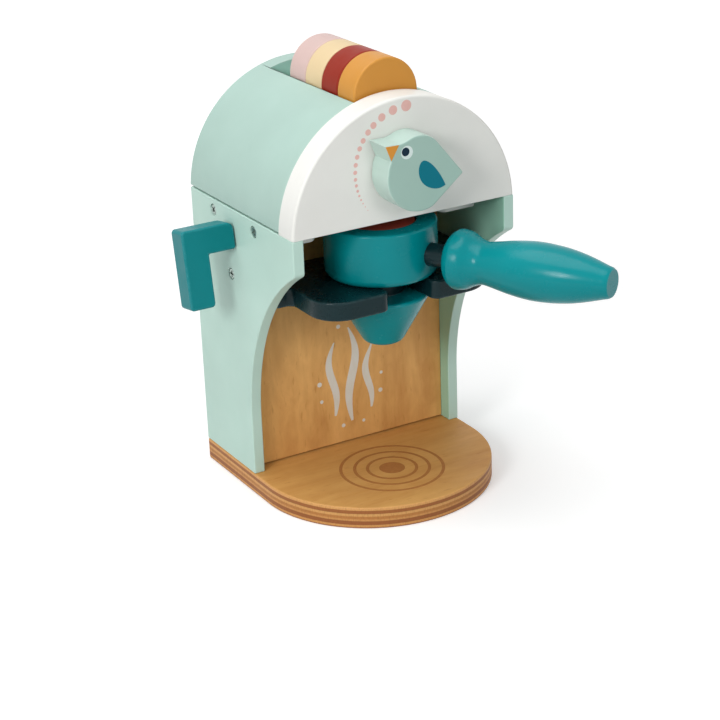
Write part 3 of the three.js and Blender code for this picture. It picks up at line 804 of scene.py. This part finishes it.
def build_hood_floor():
    low, high = corners("hood_floor")
    centre = middle_of("cup").y
    board = block(low, high)
    under, over = low.z - OVERRUN, high.z + OVERRUN
    carve(board, drum(CUTOUT_RADIUS, (0, centre, under), (0, centre, over)))

    # The two corners of the cut-out are rounded, each by its own offcut
    round_y = low.y + CUTOUT_ROUND
    round_x, touch = outer_round(round_y, centre, CUTOUT_RADIUS, CUTOUT_ROUND)
    for side in (-1, 1):
        ends = sorted((0, side * round_x))
        offcut = block((ends[0], low.y - OVERRUN, under), (ends[1], touch, over))
        carve(offcut, drum(CUTOUT_ROUND + OVERCUT, (side * round_x, round_y, under - OVERRUN),
                           (side * round_x, round_y, over + OVERRUN), BORE_FACETS))
        carve(board, offcut)
    round_edges(board, lambda middle, along: abs(along.z) > ALONG
                and abs(abs(middle.x) - high.x) < NEAR and middle.y < low.y + LOOSE,
                FLOOR_CORNER)
    ease(board, FLOOR_EASE)
    fit(board, "hood_floor_board", "hood_floor", chalk)


# Hood

# How far the hood's axis lies under its seam, and the bent board's wall and steps
ARC_DROP = 3.0
SHELL_WALL = 5.0
SHELL_FACETS = 319
SLOT_RIM_EASE = 0.35
REAR_EASE = 0.6


def hood_segment(radius, front, back, lift=0.0):
    """A segment of a round bar along Y that stands on the seam, or a little above it."""
    seam = corners("front_plate")[0].z
    centre = seam - ARC_DROP
    piece = drum(radius, (0, front, centre), (0, back, centre), 2 * ARC_FACETS)
    return cut_away(piece, (0, 0, seam + lift), (0, 0, -1))


def hood_radius():
    low, high = corners("front_plate")
    return high.z - low.z + ARC_DROP


def build_front_plate():
    low, high = corners("front_plate")
    plate = hood_segment(hood_radius(), low.y, high.y)
    round_edges(plate, lambda middle, along: middle.y < low.y + HAIR
                and middle.z > low.z + HAIR, PLATE_EASE, segments=5)
    ease(plate, THIN_EASE, segments=3)
    fit(plate, "white_front_plate", "front_plate", chalk)


def build_shell():
    """A bent board: its section is spun round the hood's axis, then opened for the discs."""
    low, high = corners("hood_shell")
    rear = corners("hood_rear_plate")[0].y
    slot = corners("tray_wall_right")[0].x
    outer = hood_radius()
    centre = low.z - ARC_DROP
    start = math.asin((ARC_DROP + SEAM_GAP) / outer)
    bpy.ops.mesh.primitive_plane_add(
        size=1, location=mm(outer - SHELL_WALL / 2, (low.y + high.y) / 2, 0))
    shell = bpy.context.object
    shell.scale = mm(SHELL_WALL, high.y - low.y, 1)
    settle_place(shell)
    swing(shell, Matrix.Translation(mm(0, 0, centre)) @ Matrix.Rotation(-start, 4, "Y"))
    pick(shell)
    bpy.ops.mesh.spin(steps=SHELL_FACETS, angle=math.pi - 2 * start,
                      center=mm(0, 0, centre), axis=(0, 1, 0))
    close_edit(weld=True)
    ease(shell, THIN_EASE)
    carve(shell, block((-slot, low.y - OVERRUN, (low.z + high.z) / 2),
                       (slot, rear, high.z + OVERRUN)))

    def at_slot_rim(middle, along):
        on_face = math.hypot(middle.x, middle.z - centre) > outer - NEAR
        return on_face and (abs(abs(middle.x) - slot) < HAIR or abs(middle.y - rear) < HAIR)

    round_edges(shell, at_slot_rim, SLOT_RIM_EASE, segments=3)
    smooth(shell)
    fit(shell, "mint_hood_shell", "hood_shell", hood_mint, painted_light_slot_mint)
    # The slot's cut walls get the painted-light copy of the mint.
    paint_faces(shell, lambda middle, facing: abs(middle.x) < slot + HAIR
                and middle.y < rear + HAIR)


def build_hood_inside():
    low, high = corners("hood_rear_plate")
    inner = hood_radius() - SHELL_WALL
    rear = hood_segment(inner, low.y, high.y, SEAM_GAP)
    round_edges(rear, lambda middle, along: middle.y > high.y - HAIR, REAR_EASE, segments=4)
    smooth(rear)
    fit(rear, "hood_back_disc", "hood_rear_plate", hood_mint, painted_light_slot_mint)
    # The rear disc's face into the slot, the tray floor and the tray walls get the painted-light
    # copy of the mint.
    paint_faces(rear, lambda middle, facing: facing.y < -FACING)
    fit(smooth(block(*corners("tray_floor"))), "slot_tray_floor", "tray_floor", painted_light_slot_mint)
    centre = corners("front_plate")[0].z - ARC_DROP
    for name in ("tray_wall_left", "tray_wall_right"):
        low, high = corners(name)
        inside = drum(inner, (0, low.y - OVERRUN, centre), (0, high.y + OVERRUN, centre),
                      2 * ARC_FACETS)
        board = combine(block(low, high + Vector((0, 0, OVERLAP))), inside, "INTERSECT")
        fit(smooth(board), f"slot_{name}", name, painted_light_slot_mint)


DISC_RADIUS = 21.4


def build_capsules():
    finishes = {
        "capsule_1": (ochre, "ochre_disc"), "capsule_2": (brick, "brick_disc"),
        "capsule_3": (straw, "yellow_disc"), "capsule_4": (blush, "pink_disc"),
        "cup_capsule": (coral, "coral_disc"),
    }
    for name, (finish, piece_name) in finishes.items():
        low, high = corners(name)
        start, end = middle_of(name), middle_of(name)
        axis = 2 if name == "cup_capsule" else 1
        start[axis], end[axis] = low[axis], high[axis]
        disc = drum(DISC_RADIUS, start, end, DISC_FACETS)
        ease(disc, CAPSULE_EASE)
        fit(disc, piece_name, name, finish)


# Fork shelf

# Half the shelf's width in front of its shoulder, the shoulder's place and half the fork
ARM_HALF = 58.2
SHOULDER = 36.5
FORK_HALF = 14.8
ARM_ROUND = 19
SHOULDER_ROUND = 4
TIP_ROUND = 5.5


def build_shelf():
    low, high = corners("holder_shelf")
    centre = middle_of("cup").y
    shelf = block((low.x, SHOULDER, low.z), high)
    arms = block((-ARM_HALF, low.y, low.z), (ARM_HALF, SHOULDER + 2 * OVERRUN, high.z))
    combine(shelf, arms, "UNION")
    under, over = low.z - OVERRUN, high.z + OVERRUN
    slot = block((-FORK_HALF, low.y - OVERRUN, under), (FORK_HALF, centre, over))
    bowl = drum(FORK_HALF, (0, centre, under), (0, centre, over), TURNED_FACETS)
    carve(shelf, slot, bowl)

    def corner_at(x, y):
        return lambda middle, along: (abs(along.z) > ALONG and abs(abs(middle.x) - x) < NEAR
                                      and abs(middle.y - y) < NEAR)

    round_edges(shelf, corner_at(ARM_HALF, low.y), ARM_ROUND, segments=20)
    round_edges(shelf, corner_at(ARM_HALF, SHOULDER), SHOULDER_ROUND)
    round_edges(shelf, corner_at(FORK_HALF, low.y), TIP_ROUND, segments=10)
    ease(shelf, SHELF_EASE)
    fit(shelf, "forked_shelf", "holder_shelf", night)


# Handled cup

# The handle is swung to the right, in degrees. Its rod seats in the cup's wall and in the grip.
HANDLE_SWING = 29.1
HANDLE_RISE = 15.1
ROD_RADIUS = 7
ROD_HOLE_RADIUS = 7.1
ROD_START = 25.5
ROD_HOLE_START = 25
ROD_HOLE_END = 60

CUP_FOOT_ROUND = 4.5
CUP_RIM_ROUND = 1.6
CUP_BORE_RADIUS = 21.9
CUP_BORE_ROUND = 0.9
CUP_BORE_FLOOR = 12.5
CUP_BORE_FOOT = 0.5
NECK_RADIUS = 13.5

SPOUT_TOP_RADIUS = 28.9
SPOUT_TIP_RADIUS = 11.6
SPOUT_TIP_ROUND = 6.0
SPOUT_RIM_ROUND = 1.5


def cup_place():
    middle = middle_of("cup")
    return (Matrix.Translation(mm(middle.x, middle.y, corners("cup")[0].z))
            @ Matrix.Rotation(math.radians(HANDLE_SWING), 4, "Z"))


def build_cup():
    low, high = corners("cup")
    tall = high.z - low.z
    radius = (high.x - low.x) / 2
    foot, rim, mouth = CUP_FOOT_ROUND, CUP_RIM_ROUND, CUP_BORE_ROUND
    cup = turned([
        *arc(radius - foot, foot, foot, -90, 0, steps=10),
        *arc(radius - rim, tall - rim, rim, 0, 90),
        *arc(CUP_BORE_RADIUS + mouth, tall - mouth, mouth, 90, 180),
        (CUP_BORE_RADIUS, CUP_BORE_FLOOR + CUP_BORE_FOOT),
        (CUP_BORE_RADIUS - CUP_BORE_FOOT, CUP_BORE_FLOOR),
    ], ARC_FACETS)
    carve(cup, drum(ROD_HOLE_RADIUS, (0, -ROD_HOLE_START, HANDLE_RISE),
                    (0, -ROD_HOLE_END, HANDLE_RISE), BORE_FACETS))
    swing(smooth(cup), cup_place())
    fit(cup, "teal_cup", "cup", teal)
    neck_low, neck_high = corners("cup_neck")
    neck = drum(NECK_RADIUS, (0, 0, neck_low.z - low.z), (0, 0, neck_high.z - low.z),
                TURNED_FACETS)
    swing(smooth(neck), cup_place())
    fit(neck, "cup_neck_round", "cup_neck", night)


def build_spout():
    low, high = corners("cup_spout")
    deep = high.z - low.z
    slope = math.degrees(math.atan2(SPOUT_TOP_RADIUS - SPOUT_TIP_RADIUS, deep))
    tip, rim = SPOUT_TIP_ROUND, SPOUT_RIM_ROUND
    inset = tip * math.tan(math.radians(90 - slope) / 2)
    spout = turned([
        *arc(SPOUT_TIP_RADIUS - inset, tip, tip, -90, -slope, steps=10),
        *arc(SPOUT_TOP_RADIUS - rim, deep - rim, rim, -slope, 90, steps=8),
    ], ARC_FACETS)
    lift = Matrix.Translation(mm(0, 0, low.z - corners("cup")[0].z))
    swing(smooth(spout), cup_place() @ lift)
    fit(spout, "cone_spout", "cup_spout", teal)


GRIP_LENGTH = 104.6
GRIP_RADIUS = 17.9
GRIP_START = 45.4
GRIP_BORE_DEPTH = 21.8
GRIP_BORE_EASE = 0.4
ROD_SEAT = 21.5

# The grip's last rings, as steps in from its end radius and back from its end
GRIP_END_STEPS = [(0.5, 1.2), (1.4, 0)]

# The grip's outline: shares of its length, each with a share of its largest radius
GRIP_SHARES = [
    (0.0, 0.4), (0.0043, 0.45), (0.0134, 0.6), (0.0268, 0.76), (0.0449, 0.893),
    (0.0679, 0.98), (0.086, 1), (0.1348, 0.95), (0.1855, 0.8), (0.238, 0.714),
    (0.304, 0.765), (0.4168, 0.885), (0.5363, 0.955), (0.6434, 0.94), (0.7467, 0.872),
    (0.8518, 0.738), (0.9685, 0.535),
]


def smooth_line(points, steps):
    """Points of a soft curve through the given ones."""
    padded = [points[0], *points, points[-1]]
    line = []
    for before, start, end, after in zip(padded, padded[1:], padded[2:], padded[3:]):
        for i in range(steps):
            t = i / steps
            place = []
            for a, b, c, d in zip(before, start, end, after):
                left, right = (c - a) / 2, (d - b) / 2
                place.append((2 * b - 2 * c + left + right) * t ** 3
                             + (-3 * b + 3 * c - 2 * left - right) * t ** 2 + left * t + b)
            line.append(tuple(place))
    line.append(points[-1])
    return line


def build_handle():
    outline = [(share * GRIP_RADIUS, along * GRIP_LENGTH)
               for along, share in smooth_line(GRIP_SHARES, steps=6)]
    last = outline[-1][0]
    bore, mouth = ROD_HOLE_RADIUS, ROD_HOLE_RADIUS + GRIP_BORE_EASE
    rings = [(bore, GRIP_BORE_DEPTH), (bore, GRIP_BORE_EASE), (mouth, 0)]
    rings += [point for point in outline if point[0] > mouth + OVERCUT]
    rings += [(last - step, GRIP_LENGTH - back) for step, back in GRIP_END_STEPS]
    grip = turned(rings, DISC_FACETS)
    swing(smooth(grip, angle=50), cup_place() @ upright(0, -GRIP_START, HANDLE_RISE))
    fit(grip, "turned_grip", "handle_grip", teal)
    rod = drum(ROD_RADIUS, (0, -ROD_START, HANDLE_RISE),
               (0, -GRIP_START - ROD_SEAT, HANDLE_RISE), BORE_FACETS)
    swing(smooth(rod), cup_place())
    fit(rod, "navy_rod", "handle_rod", night)


# Bird dial

# Where the pin lies in the bird's width and height, as shares, and both in millimetres
BIRD_AXIS_SHARE = (0.464, 0.494)
BIRD_SIZE = (51.9, 44.9)

# The outline from the beak's tip round the throat, each piece with its bends and its end
BIRD_START_SHARE = (0, 0.936)
BIRD_SHARES = [
    ([], (0.077, 0.72)),
    ([(0.04, 0.66)], (0.035, 0.56)),
    ([(0.0, 0.42), (0.06, 0.2)], (0.2, 0.1)),
    ([(0.32, -0.022), (0.53, -0.022)], (0.615, 0.05)),
    ([], (0.978, 0.38)),
    ([(1, 0.4)], (0.984, 0.423)),
    ([], (0.69, 0.842)),
    ([(0.6, 0.985), (0.45, 1.03)], (0.32, 0.975)),
    ([(0.24, 0.935)], (0.179, 0.93)),
]
BEAK_SHARES = [(0.012, 0.928), (0.179, 0.922), (0.078, 0.735)]

# The wing in millimetres from the pin: each piece with its bends, its end and its points
WING_START = (1.3, 7.4)
WING_PATH = [
    ([(-2.9, 7.6), (-4.6, -2.8)], (2.4, -7.8), 16),
    ([(6.4, -10.6), (11.6, -11.6)], (15.3, -9.3), 12),
    ([(13.2, -3.8), (6.6, 6.8)], WING_START, 16),
]

# Places from the pin, and radii
EYE_RING = (-9.8, 14.1, 3.9)
EYE = (-10.7, 14.6, 2.5)
EYE_PROUD = 0.12


def on_bird(share):
    return tuple((share[i] - BIRD_AXIS_SHARE[i]) * BIRD_SIZE[i] for i in range(2))


def bird_outline():
    points = [on_bird(BIRD_START_SHARE)]
    for bends, end in BIRD_SHARES:
        steps = 14 if bends else 1
        points += bezier(points[-1], [on_bird(bend) for bend in bends], on_bird(end), steps)
    return points


def build_bird():
    low, high = corners("bird_knob")
    pin = middle_of("dial_axle").z
    bird = flat_curve([bird_outline()], high.y - low.y, BIRD_EASE)
    swing(bird, upright(0, (low.y + high.y) / 2, pin))
    fit(smooth(bird), "bird_dial", "bird_knob", sage, pale_sage)
    paint_faces(bird, lambda middle, facing: facing.y > -FACING)
    face = upright(0, low.y, pin)
    wing = [WING_START]
    for bends, end, steps in WING_PATH:
        wing += bezier(wing[-1], bends, end, steps)
    print_on([wing[:-1]], face, "bird_wing_print", "bird_knob",
             ink("teal_ink", (0, 116, 134), (20, 130, 144)))
    print_on([[on_bird(share) for share in BEAK_SHARES]], face, "bird_beak_print", "bird_knob",
             ink("orange_ink", (222, 150, 60), (230, 170, 90)))
    print_on([ring(*EYE_RING, facets=60)], face, "bird_eye_ring_print", "bird_knob",
             ink("pale_ink", (222, 238, 234), (200, 224, 216)))
    print_on([ring(*EYE, facets=60)], face, "bird_eye_print", "bird_knob",
             ink("navy_ink", (6, 36, 54), (20, 50, 66)), EYE_PROUD)


# Printed patterns

# The dots' places round a ring, in degrees, and their radii, from the largest
DOT_ANGLES = [90.6, 105.1, 118.2, 129.2, 137.4, 146.3, 154.2, 162.2, 169.8, 176.9, 183.6,
              189.6, 195.1, 200.2, 204.8, 209.1, 213.4, 218.0]
DOT_RADII = [3.3, 2.75, 2.35, 2.0, 1.8, 1.6, 1.5, 1.42, 1.35, 1.25, 1.1, 0.97, 0.85, 0.73,
             0.58, 0.45, 0.34, 0.28]
DOT_RING = 35.2
DOT_SHIFT = 2.2


def build_plate_dots():
    outlines = []
    for angle, radius in zip(DOT_ANGLES, DOT_RADII):
        turn = math.radians(angle)
        x, z = DOT_SHIFT + DOT_RING * math.cos(turn), DOT_RING * math.sin(turn)
        outlines.append(ring(x, z, radius, facets=36))
    face = upright(0, corners("front_plate")[0].y, middle_of("dial_axle").z)
    print_on(outlines, face, "plate_dots_print", "front_plate",
             ink("rose_ink", (232, 184, 176), (238, 212, 206), 0.8))


# Three rings and a disc under the spout
RING_CENTRE = 25.2
RING_RADII = (32.0, 23.3, 15.3)
RING_HALF = 1.0
RING_DISC_RADIUS = 8


def build_base_rings():
    outlines = []
    for radius in RING_RADII:
        outlines.append(ring(0, RING_CENTRE, radius + RING_HALF, facets=120))
        outlines.append(ring(0, RING_CENTRE, radius - RING_HALF, facets=120))
    outlines.append(ring(0, RING_CENTRE, RING_DISC_RADIUS, facets=60))
    face = Matrix.Translation(mm(0, 0, corners("base_board")[1].z))
    print_on(outlines, face, "base_rings_print", "base_board",
             ink("brown_ink", (176, 114, 62), (200, 142, 82), 0.5))


# Each wisp's place, lowest and highest point, sway, width and phase
WISPS = [
    (-12, 34, 84, 3.6, 5.2, 0.4), (1, 28, 92, 4.2, 6.0, 3.4), (14, 34, 78, 3.4, 4.8, 0.9),
]
WISP_STEPS = 40
WISP_TIP_HALF = 0.12

# Each steam dot's place and radius
STEAM_DOTS = [
    (-21, 46, 1.2), (-22, 58, 1.6), (-6, 26, 1.3), (9, 26, 1.1), (22, 44, 1.5),
    (23, 56, 1.1), (-7, 94, 1.4), (10, 90, 1.2),
]


def wisp(x, low, high, sway, width, phase):
    """A tapered wavy ribbon of steam, as one closed outline."""
    left, right = [], []
    for i in range(WISP_STEPS + 1):
        share = i / WISP_STEPS
        z = low + (high - low) * share
        middle = x + sway * math.sin(share * 2 * math.pi + phase) * (0.4 + 0.6 * share)
        swell = math.sin(math.pi * min(1, share * 0.93 + 0.05)) ** 0.8
        half = width / 2 * swell + WISP_TIP_HALF
        left.append((middle - half, z))
        right.append((middle + half, z))
    return left + right[::-1]


def build_steam():
    outlines = [wisp(*row) for row in WISPS]
    outlines += [ring(*row, facets=30) for row in STEAM_DOTS]
    face = upright(0, corners("back_panel")[0].y, 0)
    print_on(outlines, face, "steam_print", "back_panel",
             ink("grey_ink", (226, 222, 212), (212, 184, 144), 0.8), slot="white_paint")


# Lever

# How much nearer to the side panel the arm's end lies than the solid's
LEVER_SEAT = 0.7

# The lever's measures and lean, and how far its pin lies under the middle of its arm
LEVER_WIDTH = 16.4
LEVER_THICK = 15.0
LEVER_DROP = 48.4
LEVER_LEAN = -8.9
LEVER_PIN_DROP = 2.8
LEVER_CORNER = 2.4
ARM_TOP_ROUND = 4.6
ARM_FOOT_ROUND = 1.8


def build_lever():
    low, high = corners("lever")
    axis = middle_of("lever_axle")
    reach = high.x - low.x
    width, thick, drop = LEVER_WIDTH, LEVER_THICK, LEVER_DROP
    half = width / 2
    lever = block((-reach, -thick / 2, -half), (LEVER_SEAT, thick / 2, half))
    bar = block((-reach, -thick / 2, half - drop), (width - reach, thick / 2, OVERLAP - half))
    combine(lever, bar, "UNION")
    pick(lever)
    bpy.ops.mesh.dissolve_limited(angle_limit=math.radians(1))
    leave_edit()
    round_edges(lever, lambda middle, along: abs(along.y) > ALONG
                and (middle.x < LOOSE - reach or middle.z < half - drop + LOOSE),
                LEVER_CORNER, segments=6)
    round_edges(lever, lambda middle, along: abs(along.y) > ALONG
                and middle.x > -LOOSE and middle.z > 0, ARM_TOP_ROUND)
    round_edges(lever, lambda middle, along: abs(along.y) > ALONG
                and middle.x > -LOOSE and middle.z < 0, ARM_FOOT_ROUND, segments=5)
    ease(lever, LEVER_EASE, segments=5)
    lean = Matrix.Rotation(math.radians(LEVER_LEAN), 4, "X")
    place = Matrix.Translation(mm(high.x, axis.y, axis.z)) @ lean
    swing(lever, place @ Matrix.Translation(mm(0, 0, LEVER_PIN_DROP)))
    fit(lever, "hooked_lever", "lever", lever_teal)


def finish_hidden_pieces():
    """The pins, the collar and the nail keep their CAD meshes and get their own finish."""
    for name, material in (("dial_axle", beech), ("dial_retainer", beech),
                           ("lever_axle", beech), ("lever_nail", steel)):
        coat(frame["nodes"][name], material)


# Surroundings

# The floor's colour in bounced light and as it is seen, its glow near and far, the distances
# between which that changes, and its size
FLOOR_SHADE = 0.62
FLOOR_SEEN = 0.88
FLOOR_GLOW = (0.3, 0.85)
FLOOR_FADE = (0.35, 2.3)
FLOOR_SIZE = 9
WORLD_LEVEL = 0.3

# What the lamps aim at, and each lamp's place, width and power, in metres and watts
LAMP_AIM = (0, 0.04, 0.13)
LAMPS = {
    "top_softbox": ((-0.3, 0.12, 1.63), 1.5, 17.0),
    "left_lamp": ((-1.27, -0.67, 0.73), 0.5, 9.4),
    "front_lamp": ((0.23, -1.43, 0.73), 0.5, 3.4),
}


def seen_directly(tree):
    """1 to the camera and to reflections, 0 to bounced light."""
    path = node(tree, "ShaderNodeLightPath")
    return math_node(tree, "MAXIMUM", path.outputs["Is Camera Ray"],
                     math_node(tree, "MAXIMUM", path.outputs["Is Glossy Ray"],
                               path.outputs["Is Transmission Ray"]))


def build_floor():
    bpy.ops.mesh.primitive_plane_add(size=FLOOR_SIZE)
    floor = bpy.context.object
    floor.name = "studio_floor"
    material, tree, shader = new_material("studio_floor", Roughness=0.9,
                                          Specular_IOR_Level=0.1)
    seen = seen_directly(tree)
    wire(tree, remap(tree, seen, 0, 1, FLOOR_SHADE, FLOOR_SEEN), shader.inputs["Base Color"])
    away = node(tree, "ShaderNodeVectorMath", {0: object_place(tree)}, operation="LENGTH")
    fade = remap(tree, away.outputs["Value"], *FLOOR_FADE, *FLOOR_GLOW)
    glow = node(tree, "ShaderNodeEmission", {"Strength": math_node(tree, "MULTIPLY", seen, fade)})
    both = node(tree, "ShaderNodeAddShader", {0: shader, 1: glow})
    wire(tree, both, tree.nodes["Material Output"].inputs["Surface"])
    floor.data.materials.append(material)


def build_light():
    world = bpy.data.worlds.new("studio")
    bpy.context.scene.world = world
    world.use_nodes = True
    tree = world.node_tree
    sky = tree.nodes["Background"]
    wire(tree, (1, 1, 1, 1), sky.inputs["Color"])
    wire(tree, remap(tree, seen_directly(tree), 0, 1, WORLD_LEVEL, 1.0), sky.inputs["Strength"])
    for name, (place, size, power) in LAMPS.items():
        lamp = bpy.data.lights.new(name, "AREA")
        lamp.shape = "DISK"
        lamp.size = size
        lamp.energy = power
        holder = new_object(name, lamp)
        holder.location = place
        toward = Vector(LAMP_AIM) - Vector(place)
        holder.rotation_euler = toward.to_track_quat("-Z", "Y").to_euler()


def build_camera():
    data = bpy.data.cameras.new("photo_camera")
    data.lens = VIEW_LENS
    data.sensor_width = SENSOR_WIDTH
    camera = new_object("photo_camera", data)
    camera.matrix_world = (Matrix.Translation(mm(*VIEW_TARGET))
                           @ Matrix.Rotation(math.radians(VIEW_AZIMUTH), 4, "Z")
                           @ Matrix.Rotation(math.radians(90 - VIEW_ELEVATION), 4, "X")
                           @ Matrix.Rotation(math.radians(VIEW_ROLL), 4, "Z")
                           @ Matrix.Translation(mm(0, 0, VIEW_DISTANCE)))
    bpy.context.scene.camera = camera
    bpy.context.scene.view_settings.view_transform = "Standard"


build_camera()
build_floor()
build_light()
build_base()
build_side("left")
build_side("right")
build_back()
build_hood_floor()
build_front_plate()
build_shell()
build_hood_inside()
build_capsules()
build_shelf()
build_cup()
build_spout()
build_handle()
build_bird()
build_plate_dots()
build_base_rings()
build_steam()
build_lever()
build_screws()
finish_hidden_pieces()
bpy.ops.object.select_all(action="DESELECT")
